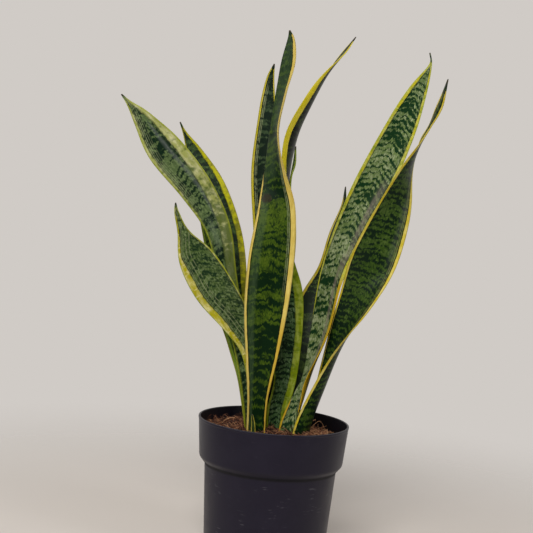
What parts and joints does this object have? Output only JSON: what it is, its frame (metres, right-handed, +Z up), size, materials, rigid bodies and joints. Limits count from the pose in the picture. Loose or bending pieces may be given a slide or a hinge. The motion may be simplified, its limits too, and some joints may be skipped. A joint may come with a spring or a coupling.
{
  "type": "potted snake plant",
  "caption": "Upright snake plant with stiff banded leaves and pale margins, rooted in soil in a dark plastic nursery pot with a stepped collar.",
  "frame": {"origin": "centre of the pot's underside", "axes": "+Z up along the pot's axis; -Y is the front that faces the viewer; +X is to the viewer's right"},
  "size_m": [0.3893, 0.1967, 0.6794],
  "materials": {
    "pot_plastic": "satin",
    "soil": "matte",
    "rootstock": "matte",
    "leaf": "satin"
  },
  "bodies": {
    "root": {"pot": "pot_plastic", "soil": "soil", "rootstock": "rootstock", "leaf_left_tall": "leaf", "leaf_left_back": "leaf", "leaf_left_low": "leaf", "leaf_left_hidden": "leaf", "leaf_centre_front": "leaf", "leaf_centre_back": "leaf", "leaf_arching": "leaf", "leaf_mid_back": "leaf", "leaf_right_back": "leaf", "leaf_right_tall": "leaf", "leaf_right_front": "leaf", "sprout": "leaf"}
  },
  "joints": []
}
